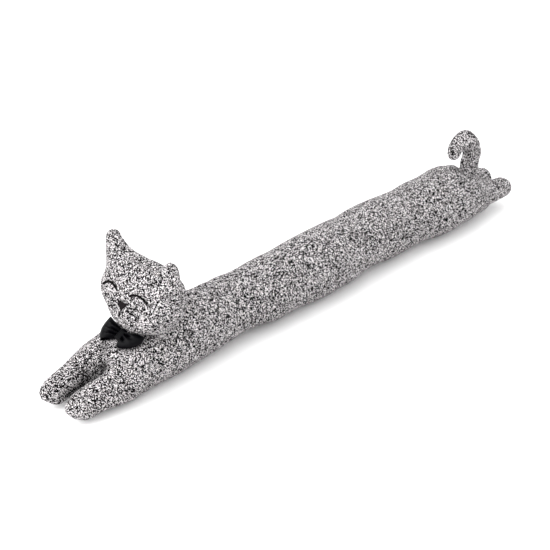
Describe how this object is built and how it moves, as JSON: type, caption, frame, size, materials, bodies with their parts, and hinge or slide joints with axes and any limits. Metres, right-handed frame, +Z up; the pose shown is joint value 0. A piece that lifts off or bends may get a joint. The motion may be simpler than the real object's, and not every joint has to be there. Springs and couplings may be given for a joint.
{
  "type": "cat-shaped draught excluder",
  "caption": "Long stuffed sleeping cat in grey marled cloth with pointed ears, stretched front legs, a curled tail and a black satin bow tie, laid along a door to stop draughts.",
  "frame": {"origin": "on the floor under the middle of the object", "axes": "+X along the body from the front paws to the hind paws, +Z up"},
  "size_m": [0.9, 0.1378, 0.2003],
  "materials": {
    "cloth": "matte marled black, grey and white boucle",
    "satin": "black satin ribbon"
  },
  "bodies": {
    "root": {"body": "cloth", "head": "cloth", "tail": "cloth", "bow_loops": "satin", "bow_knot": "satin"}
  },
  "joints": []
}
